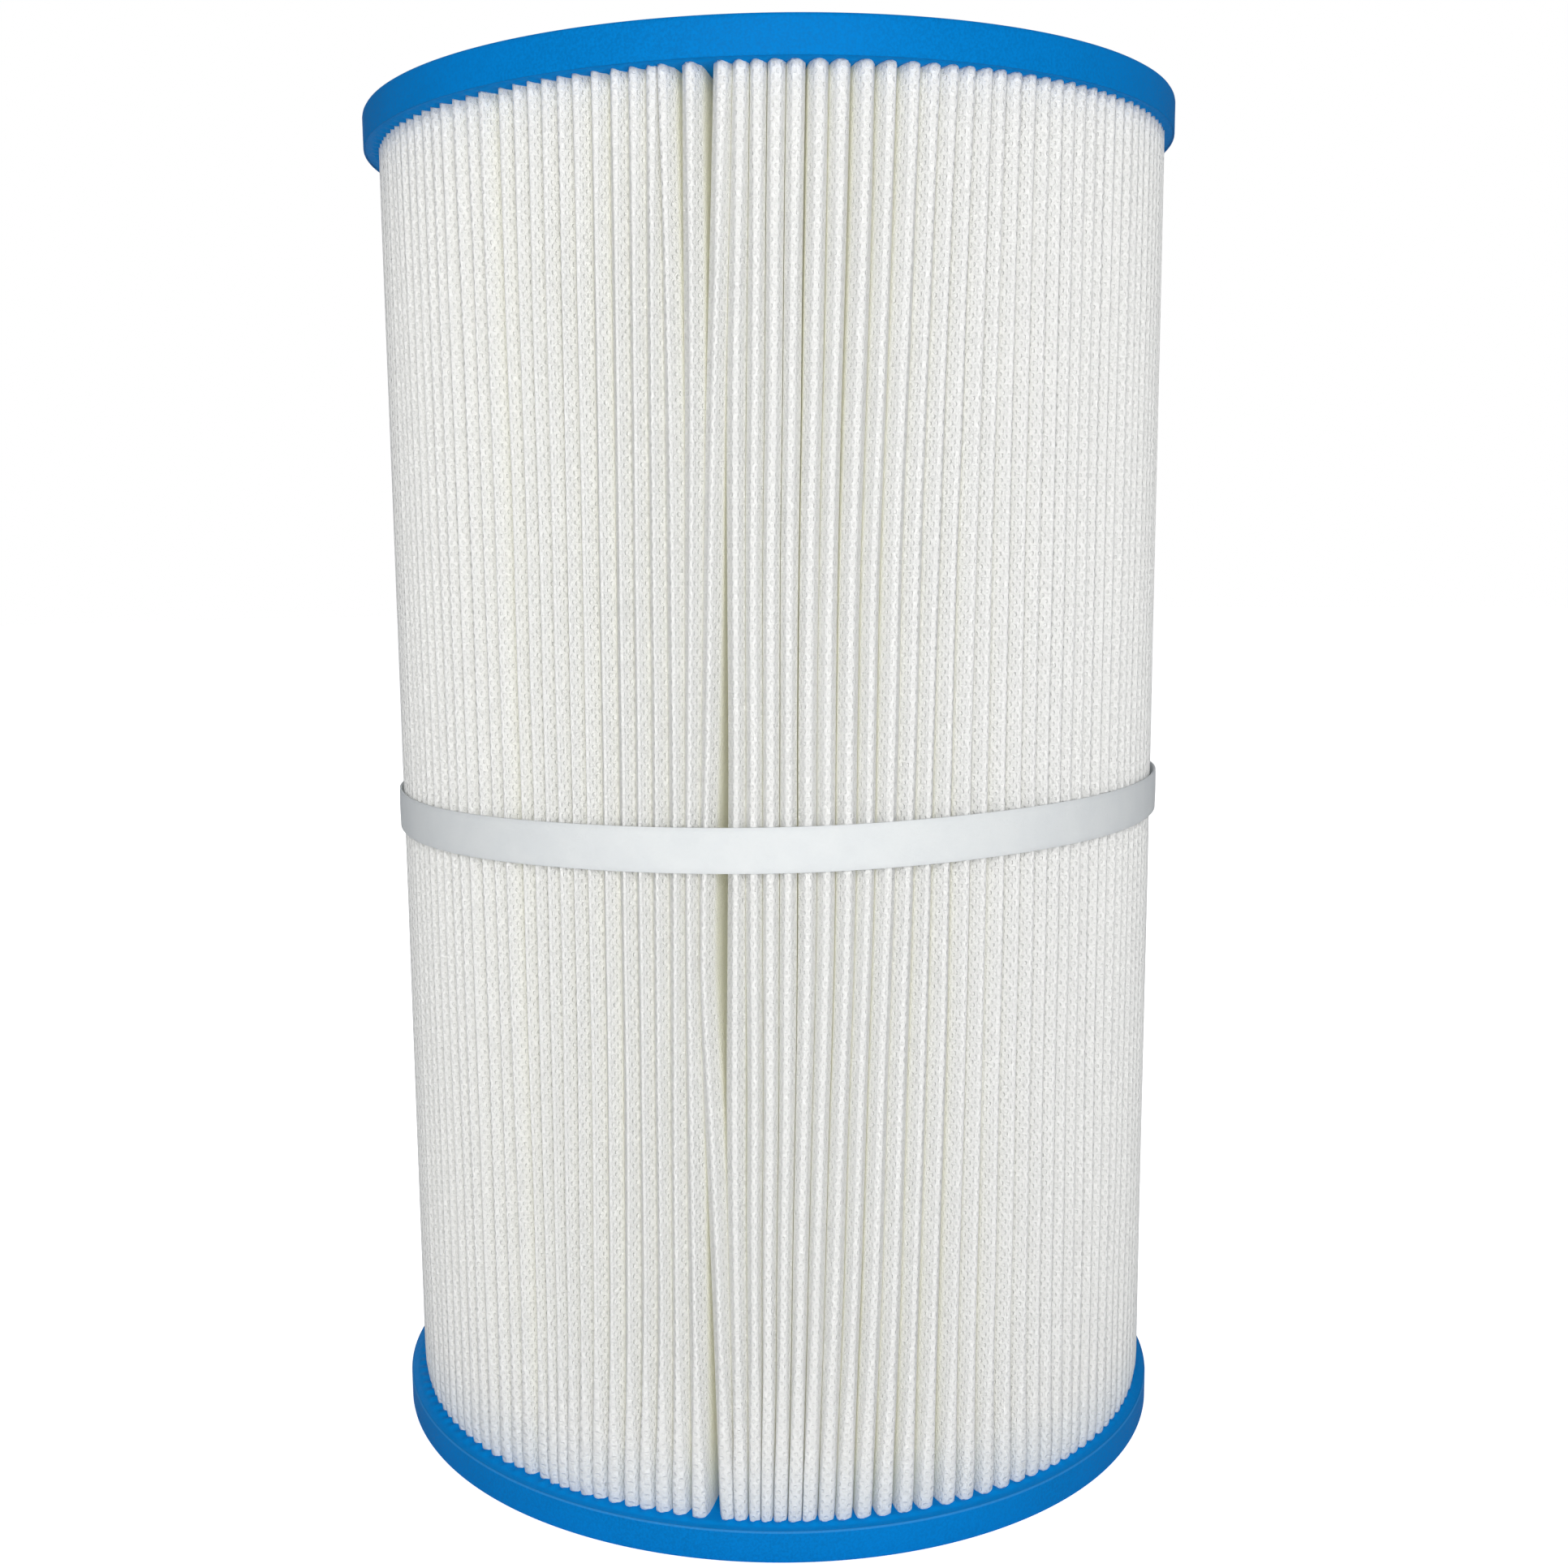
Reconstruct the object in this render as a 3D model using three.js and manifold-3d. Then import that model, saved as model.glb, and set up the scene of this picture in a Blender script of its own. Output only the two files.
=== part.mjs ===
import * as THREE from "three";
import { mergeVertices } from "three/addons/utils/BufferGeometryUtils.js";
import Module from "manifold-3d";

const wasm = await Module();
wasm.setup();

// Driving dimensions in millimetres. The axis is +Z and z = 0 is the lower cap's end face.
const totalLength = 374.65;
const clearGap = 0.3;

const capRadius = 113.5;
const capRimHeight = 9;
const capSeatHeight = 8;
const capSides = 96;
const boreRadius = 50.8;
const endChamfer = 1;
const recessDepth = 1.5;
const recessInner = 66;
const recessOuter = 100;
const coreGrooveDepth = 5;

const pleatCount = 144;
const crestRadius = 110.2;
const valleyRadius = 57.8;
const sheetThickness = 0.65;
const crestHalfWidth = 1.2;

const seamDegrees = -5;
const seamOuterRadius = 108;
const seamDepth = 12;
const seamThickness = 0.5;

const bandInner = 110.55;
const bandThickness = 0.7;
const bandWidth = 11.3;
const bandMiddle = 184;
const bandTiltDegrees = 1;
const bandSides = 72;
const bandLapSides = 2;
const bandRampSides = 3;

const coreInner = 53;
const coreOuter = 57;
const coreSections = 5;
const coreSides = 30;
const coreJointDepth = 4;
const spigotOuter = 54.8;
const windowsAround = 10;
const windowRows = 2;
const windowDegrees = 25;
const windowHeight = 25;

const resinBlue = 0x0078c8;
const sheetWhite = 0xeeeff0;
const bandWhite = 0xf3f6fa;
const coreWhite = 0xe2e4e2;
const seamCream = 0xd9d6b8;

const fullTurn = 2 * Math.PI;

function makeMesh(name, geometry, color, roughness) {
  const material = new THREE.MeshStandardMaterial({ color, roughness, metalness: 0 });
  const mesh = new THREE.Mesh(geometry, material);
  mesh.name = name;
  return mesh;
}

function weld(geometry) {
  geometry.deleteAttribute("normal");
  geometry.deleteAttribute("uv");
  const welded = mergeVertices(geometry, 1e-4);
  welded.computeVertexNormals();
  return welded;
}

// The profile is a closed loop of [radius, z]. The lathe turns about Y, so it is stood on Z.
function latheRing(profile, sides) {
  const points = profile.map(([radius, z]) => new THREE.Vector2(radius, z));
  points.push(points[0].clone());
  const geometry = new THREE.LatheGeometry(points, sides);
  geometry.rotateX(Math.PI / 2);
  return weld(geometry);
}

function polar(radius, angle) {
  return new THREE.Vector2(radius * Math.cos(angle), radius * Math.sin(angle));
}

function extrudeUp(shape, bottom, height) {
  const geometry = new THREE.ExtrudeGeometry(shape, { depth: height, bevelEnabled: false });
  geometry.translate(0, 0, bottom);
  return weld(geometry);
}

function toManifold(geometry) {
  const mesh = new wasm.Mesh({
    numProp: 3,
    vertProperties: new Float32Array(geometry.attributes.position.array),
    triVerts: new Uint32Array(geometry.index.array),
  });
  return new wasm.Manifold(mesh);
}

function fromManifold(solid) {
  const mesh = solid.getMesh();
  const geometry = new THREE.BufferGeometry();
  geometry.setAttribute("position", new THREE.BufferAttribute(mesh.vertProperties, 3));
  geometry.setIndex(new THREE.BufferAttribute(mesh.triVerts, 1));
  geometry.computeVertexNormals();
  return geometry;
}

// End cap: a cast ring. Its rim stands round the pleat ends, a groove holds the core, and
// the end face has a sealing land round the hole and a foot round the edge.
function endCap(name) {
  const rimInner = crestRadius + clearGap;
  const grooveOuter = coreOuter + clearGap;
  const grooveInner = coreInner - clearGap;
  const grooveFloor = capSeatHeight - coreGrooveDepth;
  const profile = [
    [boreRadius, endChamfer],
    [boreRadius + endChamfer, 0],
    [recessInner, 0],
    [recessInner + recessDepth, recessDepth],
    [recessOuter - recessDepth, recessDepth],
    [recessOuter, 0],
    [capRadius - endChamfer, 0],
    [capRadius, endChamfer],
    [capRadius, capRimHeight - endChamfer / 2],
    [capRadius - endChamfer / 2, capRimHeight],
    [rimInner, capRimHeight],
    [rimInner, capSeatHeight],
    [grooveOuter, capSeatHeight],
    [grooveOuter, grooveFloor],
    [grooveInner, grooveFloor],
    [grooveInner, capSeatHeight],
    [boreRadius, capSeatHeight],
  ];
  return makeMesh(name, latheRing(profile, capSides), resinBlue, 0.6);
}

function topEndCap() {
  const cap = endCap("top_end_cap");
  cap.rotation.x = Math.PI;
  cap.position.z = totalLength;
  return cap;
}

// Pleated sheet: the outer skin runs over narrow crests and down into pointed valleys. The
// inner skin is the same fold, one sheet thickness away.
function pleatOuterSkin() {
  const pitch = fullTurn / pleatCount;
  const crestHalf = crestHalfWidth / crestRadius;
  const skin = [];
  for (let index = 0; index < pleatCount; index += 1) {
    const middle = index * pitch;
    skin.push(polar(crestRadius, middle - crestHalf));
    skin.push(polar(crestRadius, middle + crestHalf));
    skin.push(polar(valleyRadius + sheetThickness, middle + pitch / 2));
  }
  return skin;
}

function pleatInnerSkin() {
  const pitch = fullTurn / pleatCount;
  const crestHalf = (crestHalfWidth - sheetThickness) / crestRadius;
  const rootHalf = pitch / 2 - sheetThickness / valleyRadius;
  const skin = [];
  for (let index = 0; index < pleatCount; index += 1) {
    const middle = index * pitch;
    skin.push(polar(valleyRadius, middle - rootHalf));
    skin.push(polar(crestRadius - sheetThickness, middle - crestHalf));
    skin.push(polar(crestRadius - sheetThickness, middle + crestHalf));
    skin.push(polar(valleyRadius, middle + rootHalf));
  }
  return skin;
}

function pleatedMedia() {
  const shape = new THREE.Shape(pleatOuterSkin());
  shape.holes.push(new THREE.Path(pleatInnerSkin()));
  const bottom = capSeatHeight + clearGap;
  const geometry = extrudeUp(shape, bottom, totalLength - 2 * bottom);
  return makeMesh("pleated_media", geometry, sheetWhite, 0.9);
}

// Seam strip: bonds the sheet's two free ends face to face. It stands inside the fold whose
// crest is nearest to the stated angle, which is measured from the -Y side.
function seamStrip() {
  const pitchDegrees = 360 / pleatCount;
  const foldNumber = Math.round((seamDegrees - 90) / pitchDegrees);
  const bottom = capSeatHeight + clearGap;
  const height = totalLength - 2 * bottom;
  const geometry = new THREE.BoxGeometry(seamDepth, seamThickness, height);
  geometry.translate(seamOuterRadius - seamDepth / 2, 0, totalLength / 2);
  geometry.rotateZ(THREE.MathUtils.degToRad(foldNumber * pitchDegrees));
  return makeMesh("media_seam_strip", weld(geometry), seamCream, 0.7);
}

// Band: one strap that starts at the back, goes once round the crests and laps over its
// own start. It sits very slightly tilted.
function bandLift(step) {
  const ramp = (step - (bandSides - bandRampSides)) / bandRampSides;
  return THREE.MathUtils.clamp(ramp, 0, 1) * (bandThickness + clearGap);
}

function midBand() {
  const inner = [];
  const outer = [];
  for (let step = 0; step <= bandSides + bandLapSides; step += 1) {
    const angle = Math.PI / 2 + (fullTurn * step) / bandSides;
    const radius = bandInner + bandLift(step);
    inner.push(polar(radius, angle));
    outer.push(polar(radius + bandThickness, angle));
  }
  const shape = new THREE.Shape([...outer, ...inner.reverse()]);
  const geometry = extrudeUp(shape, -bandWidth / 2, bandWidth);
  geometry.rotateY(THREE.MathUtils.degToRad(-bandTiltDegrees));
  geometry.translate(0, 0, bandMiddle);
  return makeMesh("mid_band", geometry, bandWhite, 0.8);
}

// Core section: a short tube with rows of windows. A spigot on its lower end goes into the
// socket of the section below it; the first and last ends are plain and sit in the caps.
function sectionTube(hasSpigot, hasSocket, height) {
  const socketInner = spigotOuter + clearGap;
  const profile = [];
  if (hasSpigot) {
    profile.push([coreInner, clearGap - coreJointDepth]);
    profile.push([spigotOuter, clearGap - coreJointDepth]);
    profile.push([spigotOuter, clearGap]);
    profile.push([coreOuter, clearGap]);
  } else {
    profile.push([coreInner, 0]);
    profile.push([coreOuter, 0]);
  }
  profile.push([coreOuter, height]);
  if (hasSocket) {
    profile.push([socketInner, height]);
    profile.push([socketInner, height - coreJointDepth]);
    profile.push([coreInner, height - coreJointDepth]);
  } else {
    profile.push([coreInner, height]);
  }
  return toManifold(latheRing(profile, coreSides));
}

function windowCutter(angle, bottom) {
  const half = THREE.MathUtils.degToRad(windowDegrees / 2);
  const shape = new THREE.Shape([
    polar(coreInner - 2, angle - half),
    polar(coreOuter + 3, angle - half),
    polar(coreOuter + 3, angle + half),
    polar(coreInner - 2, angle + half),
  ]);
  return toManifold(extrudeUp(shape, bottom, windowHeight));
}

function coreSection(number, bottom, height) {
  let solid = sectionTube(number > 1, number < coreSections, height);
  const spare = height - coreJointDepth - windowRows * windowHeight;
  const ring = spare / (windowRows + 1);
  for (let row = 0; row < windowRows; row += 1) {
    const windowBottom = ring + row * (windowHeight + ring);
    for (let index = 0; index < windowsAround; index += 1) {
      const cutter = windowCutter((fullTurn * index) / windowsAround, windowBottom);
      solid = solid.subtract(cutter);
    }
  }
  const geometry = fromManifold(solid.translate([0, 0, bottom]));
  return makeMesh(`core_section_${number}`, geometry, coreWhite, 0.5);
}

function core() {
  const group = new THREE.Group();
  const bottom = capSeatHeight - coreGrooveDepth + clearGap;
  const height = (totalLength - 2 * bottom) / coreSections;
  for (let number = 1; number <= coreSections; number += 1) {
    group.add(coreSection(number, bottom + (number - 1) * height, height));
  }
  return group;
}

const cartridge = new THREE.Group();
cartridge.add(endCap("bottom_end_cap"));
cartridge.add(topEndCap());
cartridge.add(pleatedMedia());
cartridge.add(seamStrip());
cartridge.add(midBand());
cartridge.add(core());

export default cartridge;
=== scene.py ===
# Pleated filter cartridge: the fine surfaces and finishes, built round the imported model.
import bpy
import math
import random
from mathutils import Matrix, Vector, noise


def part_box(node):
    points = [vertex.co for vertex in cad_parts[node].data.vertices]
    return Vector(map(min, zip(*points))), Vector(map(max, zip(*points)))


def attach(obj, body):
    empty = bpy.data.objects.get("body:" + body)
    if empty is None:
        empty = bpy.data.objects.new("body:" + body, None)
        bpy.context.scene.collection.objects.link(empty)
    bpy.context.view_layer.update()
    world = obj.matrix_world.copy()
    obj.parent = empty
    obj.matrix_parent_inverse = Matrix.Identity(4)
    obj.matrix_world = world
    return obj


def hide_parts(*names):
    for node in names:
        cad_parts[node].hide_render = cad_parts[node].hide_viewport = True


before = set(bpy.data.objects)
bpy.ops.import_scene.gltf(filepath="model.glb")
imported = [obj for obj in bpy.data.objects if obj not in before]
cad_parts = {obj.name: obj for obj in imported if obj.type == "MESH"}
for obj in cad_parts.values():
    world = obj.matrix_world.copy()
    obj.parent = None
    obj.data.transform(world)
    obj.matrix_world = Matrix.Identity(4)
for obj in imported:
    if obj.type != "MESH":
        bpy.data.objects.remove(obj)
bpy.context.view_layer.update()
mm = 0.001

# Sizes that every piece shares, in metres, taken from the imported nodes.
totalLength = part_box("top_end_cap")[1].z
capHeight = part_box("bottom_end_cap")[1].z
sheetLow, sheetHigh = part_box("pleated_media")[0].z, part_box("pleated_media")[1].z
bandMiddle = (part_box("mid_band")[0].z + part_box("mid_band")[1].z) / 2
print("frame loaded, cartridge length", round(totalLength, 4))


# Angles are in degrees from the front (-Y) towards +X.
def ringPoint(radius, degrees, height, shift=0):
    angle = math.radians(degrees)
    return (radius * math.sin(angle) + shift, -radius * math.cos(angle), height)


def blendValue(start, end, share):
    return start + (end - start) * share


# 0 at low and 1 at high, with a soft start and stop.
def easeBetween(low, high, value):
    share = min(max((value - low) / (high - low), 0), 1)
    return share * share * (3 - 2 * share)


# A smooth curve through (place, value) keys, carried on straight beyond both ends.
def curveThrough(keys, place):
    last = len(keys) - 1
    spot = 0
    while spot < last - 1 and place > keys[spot + 1][0]:
        spot += 1

    def slope(index):
        before, after = max(index - 1, 0), min(index + 1, last)
        return (keys[after][1] - keys[before][1]) / (keys[after][0] - keys[before][0])

    (startPlace, startValue), (endPlace, endValue) = keys[spot], keys[spot + 1]
    if place < startPlace:
        return startValue + slope(spot) * (place - startPlace)
    if place > endPlace:
        return endValue + slope(spot + 1) * (place - endPlace)
    width = endPlace - startPlace
    t = (place - startPlace) / width
    return (
        startValue * (1 + 2 * t) * (1 - t) ** 2
        + endValue * t * t * (3 - 2 * t)
        + slope(spot) * width * t * (1 - t) ** 2
        - slope(spot + 1) * width * t * t * (1 - t)
    )


# A smooth random value between -1 and 1. Each use has a layer of its own.
def wander(across, along, layer):
    return noise.noise(Vector((across, along, layer)))


def makePiece(name, points, faces, material, sheetMap=None):
    mesh = bpy.data.meshes.new(name)
    mesh.from_pydata(points, [], faces)
    mesh.polygons.foreach_set("use_smooth", [True] * len(faces))
    if sheetMap:
        layer = mesh.uv_layers.new(name="sheetMap")
        layer.data.foreach_set("uv", sheetMap)
    mesh.materials.append(material)
    mesh.update()
    piece = bpy.data.objects.new(name, mesh)
    bpy.context.scene.collection.objects.link(piece)
    return piece


# The camera: angles in radians, lens in millimetres.
cameraSetting = {
    "place": (0, -0.5357, 0.25805),
    "turn": -0.0296,
    "tilt": 0.1487,
    "roll": -0.0125,
    "lens": 41.12,
    "shift": (0.0413, 0.0152),
}


def makeCamera(setting):
    turn, tilt, roll = setting["turn"], setting["tilt"], setting["roll"]
    ahead = Vector((math.sin(turn) * math.cos(tilt), math.cos(turn) * math.cos(tilt), -math.sin(tilt)))
    level = Vector((math.cos(turn), -math.sin(turn), 0))
    upright = level.cross(ahead)
    right = level * math.cos(roll) + upright * math.sin(roll)
    up = upright * math.cos(roll) - level * math.sin(roll)
    data = bpy.data.cameras.new("studioCamera")
    data.sensor_width = 36
    data.lens = setting["lens"]
    data.shift_x, data.shift_y = setting["shift"]
    camera = bpy.data.objects.new("studioCamera", data)
    facing = Matrix((right, up, -ahead)).transposed().to_4x4()
    camera.matrix_world = Matrix.Translation(setting["place"]) @ facing
    bpy.context.scene.collection.objects.link(camera)
    bpy.context.scene.camera = camera


makeCamera(cameraSetting)
print("camera placed")


# Shader helpers: a value may be a number, a colour or another node's socket.
def addNode(tree, kind, values=None, **settings):
    made = tree.nodes.new(kind)
    for name, value in settings.items():
        setattr(made, name, value)
    for socket, value in (values or {}).items():
        if isinstance(value, bpy.types.NodeSocket):
            tree.links.new(value, made.inputs[socket])
        else:
            made.inputs[socket].default_value = value
    return made


def maths(tree, operation, *terms):
    made = tree.nodes.new("ShaderNodeMath")
    made.operation = operation
    for socket, term in zip(made.inputs, terms):
        if isinstance(term, bpy.types.NodeSocket):
            tree.links.new(term, socket)
        else:
            socket.default_value = term
    return made.outputs[0]


def remap(tree, value, low, high, toLow=0.0, toHigh=1.0):
    return addNode(
        tree, "ShaderNodeMapRange",
        {"Value": value, "From Min": low, "From Max": high, "To Min": toLow, "To Max": toHigh},
        interpolation_type="SMOOTHSTEP",
    ).outputs["Result"]


def mixColours(tree, share, first, second):
    made = addNode(tree, "ShaderNodeMix", data_type="RGBA")
    factor, firstColour, secondColour = made.inputs[0], made.inputs[6], made.inputs[7]
    for socket, value in ((factor, share), (firstColour, first), (secondColour, second)):
        if isinstance(value, bpy.types.NodeSocket):
            tree.links.new(value, socket)
        else:
            socket.default_value = value
    return made.outputs[2]


def pointOnPiece(tree):
    return addNode(tree, "ShaderNodeTexCoord").outputs["Object"]


def splitUp(tree, vector):
    return addNode(tree, "ShaderNodeSeparateXYZ", {"Vector": vector}).outputs


# How far a point is from the cartridge's axis.
def axisDistance(tree, spot):
    squares = [maths(tree, "POWER", spot[axis], 2.0) for axis in "XY"]
    return maths(tree, "SQRT", maths(tree, "ADD", *squares))


def addBump(tree, surface, height, strength, distance):
    bump = addNode(tree, "ShaderNodeBump", {"Strength": strength, "Distance": distance, "Height": height})
    tree.links.new(bump.outputs["Normal"], surface.inputs["Normal"])


def newMaterial(name, roughness, specular=0.3):
    material = bpy.data.materials.new(name)
    material.use_nodes = True
    surface = material.node_tree.nodes["Principled BSDF"]
    surface.inputs["Roughness"].default_value = roughness
    surface.inputs["Specular IOR Level"].default_value = specular
    return material, material.node_tree, surface


def newGroup(name, inputs, outputs):
    group = bpy.data.node_groups.new(name, "ShaderNodeTree")
    for title, value in inputs.items():
        socket = group.interface.new_socket(title, in_out="INPUT", socket_type="NodeSocketFloat")
        socket.default_value = value
    for title in outputs:
        group.interface.new_socket(title, in_out="OUTPUT", socket_type="NodeSocketFloat")
    return group, group.nodes.new("NodeGroupInput"), group.nodes.new("NodeGroupOutput")


def placeGroup(tree, group, values):
    return addNode(tree, "ShaderNodeGroup", values, node_tree=group)


def addNoise(tree, place, scale, **values):
    settings = {name.capitalize(): value for name, value in values.items()}
    return addNode(tree, "ShaderNodeTexNoise", {"Vector": place, "Scale": scale, **settings}).outputs["Fac"]


# Matted fibres, as spunbond and webbing have: a fine tangle, with soft clouds of thick and thin.
def makeFibreGrain():
    scales = {"Fibre Scale": 1500, "Cloud Scale": 120}
    group, given, out = newGroup("fibreGrain", scales, ("Height", "Cloud"))
    place = pointOnPiece(group)
    tangle = addNoise(
        group, place, given.outputs["Fibre Scale"], detail=4.0, roughness=0.6, distortion=1.2,
    )
    cloud = addNoise(group, place, given.outputs["Cloud Scale"], detail=3.0, roughness=0.55)
    strand = maths(group, "ABSOLUTE", maths(group, "SUBTRACT", tangle, 0.5))
    group.links.new(remap(group, strand, 0.0, 0.2, 1.0, 0.0), out.inputs["Height"])
    group.links.new(cloud, out.inputs["Cloud"])
    return group


# The fine speckle of a cast or moulded surface.
def makeMouldSpeckle():
    scales = {"Speckle Scale": 1800, "Drift Scale": 30}
    group, given, out = newGroup("mouldSpeckle", scales, ("Height", "Speckle", "Drift"))
    place = pointOnPiece(group)
    grain = addNoise(group, place, given.outputs["Speckle Scale"], detail=3.0, roughness=0.65)
    drift = addNoise(group, place, given.outputs["Drift Scale"], detail=2.0)
    group.links.new(grain, out.inputs["Height"])
    group.links.new(remap(group, grain, 0.35, 0.65), out.inputs["Speckle"])
    group.links.new(remap(group, drift, 0.3, 0.7), out.inputs["Drift"])
    return group


fibreGrain = makeFibreGrain()
mouldSpeckle = makeMouldSpeckle()


# Spunbonded sheet: point bonds in staggered rows, with warm shade painted down in the folds.
def makeFilterSheetMaterial():
    look = {
        "crestColour": (0.982, 0.987, 0.985, 1),
        "paintedFoldShade": (0.965, 0.963, 0.885, 1),
        # Painted shade: the colour turns warmer and darker down in the folds.
        "paintedFoldShadeDepth": (109.4 * mm, 104 * mm),
        # Painted glow: emission between the folds in place of light through the sheet.
        "paintedGlow": (0.032, 0.0315, 0.025, 1),
        "paintedGlowDepth": (109.0 * mm, 105.5 * mm),
        "bondColour": (0.84, 0.85, 0.85, 1),
        "bondShare": 0.2,
        "columnPeriod": 1.84 * mm,
        "rowPeriod": 2.95 * mm,
        "thickColour": (0.90, 0.91, 0.92, 1),
        "thickShare": 0.1,
        # Painted shade: blue-grey on the sheet near the lower cap.
        "paintedCapShade": (0.74, 0.82, 0.91, 1),
        "paintedCapShadeHeight": (30 * mm, 8 * mm),
        "paintedCapShadeShare": 0.5,
        "fibreHeight": 0.5,
        "bumpDistance": 0.45 * mm,
    }
    material, tree, surface = newMaterial("filterSheet", 0.88, 0.25)
    fibres = placeGroup(tree, fibreGrain, {"Fibre Scale": 1100, "Cloud Scale": 160})
    along = splitUp(tree, addNode(tree, "ShaderNodeUVMap", uv_map="sheetMap").outputs["UV"])
    waves = []
    for axis, period in (("X", look["columnPeriod"]), ("Y", look["rowPeriod"])):
        waves.append(maths(tree, "COSINE", maths(tree, "MULTIPLY", along[axis], 2 * math.pi / period)))
    bond = remap(tree, maths(tree, "MULTIPLY", *waves), 0.3, 0.85)
    spot = splitUp(tree, pointOnPiece(tree))
    radius = axisDistance(tree, spot)
    # Warm shade painted down in the folds, from just under the crests inwards.
    foldShadeMask = remap(tree, radius, *look["paintedFoldShadeDepth"])
    tone = mixColours(tree, foldShadeMask, look["crestColour"], look["paintedFoldShade"])
    tone = mixColours(tree, maths(tree, "MULTIPLY", bond, look["bondShare"]), tone, look["bondColour"])
    thick = remap(tree, fibres.outputs["Cloud"], 0.3, 0.7, 0.0, look["thickShare"])
    tone = mixColours(tree, thick, tone, look["thickColour"])
    # Painted blue-grey shade a little way up the sheet from the lower cap, in place of the cap's shadow and
    # its blue bounced light.
    paintedCapShade = remap(tree, spot["Z"], *look["paintedCapShadeHeight"], 0.0, look["paintedCapShadeShare"])
    tree.links.new(mixColours(tree, paintedCapShade, tone, look["paintedCapShade"]), surface.inputs["Base Color"])
    # A painted glow: an emission that shows only between the folds and stands in for light coming through
    # the thin sheet.
    through = remap(tree, radius, *look["paintedGlowDepth"])
    tree.links.new(mixColours(tree, through, (0, 0, 0, 1), look["paintedGlow"]), surface.inputs["Emission Color"])
    surface.inputs["Emission Strength"].default_value = 1.0
    material.cycles.emission_sampling = "NONE"
    fibreHeight = maths(tree, "MULTIPLY", fibres.outputs["Height"], look["fibreHeight"])
    addBump(tree, surface, maths(tree, "SUBTRACT", fibreHeight, bond), 0.7, look["bumpDistance"])
    return material


# Cast resin: a slow drift of blue, fine pale flecks, a ledge painted lighter against its shade, and a
# painted highlight along the lower cap's rim edge.
def makeCapResinMaterial():
    look = {
        "azure": (0.0, 0.19, 0.58, 1),
        "deepAzure": (0.0, 0.17, 0.51, 1),
        "paleFleck": (0.0, 0.24, 0.70, 1),
        "fleckShare": 0.55,
        # Painted light: the ledge is made lighter to offset the shade it sits in.
        "ledge": (0.0, 0.26, 0.74, 1),
        "paintedLedgeLightRadius": (113.15 * mm, 112.9 * mm),
        # Painted highlight: the pale lip colour along the lower cap's rim edge.
        "lip": (0.10, 0.42, 0.86, 1),
        "lipHighlightShare": 0.28,
        "lipRadius": (113.1 * mm, 113.3 * mm),
        "lipHeight": 8.75 * mm,
        "lipHighlightReach": (0.45 * mm, 0.15 * mm),
        "bumpDistance": 0.05 * mm,
    }
    material, tree, surface = newMaterial("capResin", 0.6, 0.04)
    speckle = placeGroup(tree, mouldSpeckle, {"Speckle Scale": 1500, "Drift Scale": 22})
    tone = mixColours(tree, speckle.outputs["Drift"], look["deepAzure"], look["azure"])
    fleck = maths(tree, "MULTIPLY", speckle.outputs["Speckle"], look["fleckShare"])
    tone = mixColours(tree, fleck, tone, look["paleFleck"])
    spot = splitUp(tree, pointOnPiece(tree))
    radius = axisDistance(tree, spot)
    # Painted light: the ledge inside the rim is coloured lighter to offset its shade.
    tone = mixColours(tree, remap(tree, radius, *look["paintedLedgeLightRadius"]), tone, look["ledge"])
    # A painted highlight: a pale line along the lower cap's rim edge, as if it caught light from above.
    fromEdge = maths(tree, "ABSOLUTE", maths(tree, "SUBTRACT", spot["Z"], look["lipHeight"]))
    outermost = remap(tree, radius, *look["lipRadius"])
    lip = maths(tree, "MULTIPLY", outermost, remap(tree, fromEdge, *look["lipHighlightReach"]))
    tone = mixColours(tree, maths(tree, "MULTIPLY", lip, look["lipHighlightShare"]), tone, look["lip"])
    tree.links.new(tone, surface.inputs["Base Color"])
    shine = remap(tree, speckle.outputs["Speckle"], 0.0, 1.0, 0.52, 0.68)
    tree.links.new(shine, surface.inputs["Roughness"])
    addBump(tree, surface, speckle.outputs["Height"], 0.5, look["bumpDistance"])
    return material


def makeBandMaterial():
    look = {
        "white": (0.79, 0.82, 0.84, 1),
        "shade": (0.765, 0.797, 0.822, 1),
        "bumpDistance": 0.06 * mm,
    }
    material, tree, surface = newMaterial("bandFabric", 0.7, 0.3)
    fibres = placeGroup(tree, fibreGrain, {"Fibre Scale": 900, "Cloud Scale": 90})
    clouds = remap(tree, fibres.outputs["Cloud"], 0.35, 0.65)
    tree.links.new(mixColours(tree, clouds, look["white"], look["shade"]), surface.inputs["Base Color"])
    addBump(tree, surface, fibres.outputs["Height"], 0.5, look["bumpDistance"])
    return material


def makeCorePlasticMaterial():
    look = {
        "white": (0.80, 0.81, 0.80, 1),
        "shade": (0.72, 0.74, 0.74, 1),
        "bumpDistance": 0.03 * mm,
    }
    material, tree, surface = newMaterial("corePlastic", 0.42, 0.45)
    speckle = placeGroup(tree, mouldSpeckle, {"Speckle Scale": 900, "Drift Scale": 40})
    tone = mixColours(tree, speckle.outputs["Drift"], look["shade"], look["white"])
    tree.links.new(tone, surface.inputs["Base Color"])
    shine = remap(tree, speckle.outputs["Speckle"], 0.0, 1.0, 0.36, 0.5)
    tree.links.new(shine, surface.inputs["Roughness"])
    addBump(tree, surface, speckle.outputs["Height"], 0.3, look["bumpDistance"])
    return material


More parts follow.
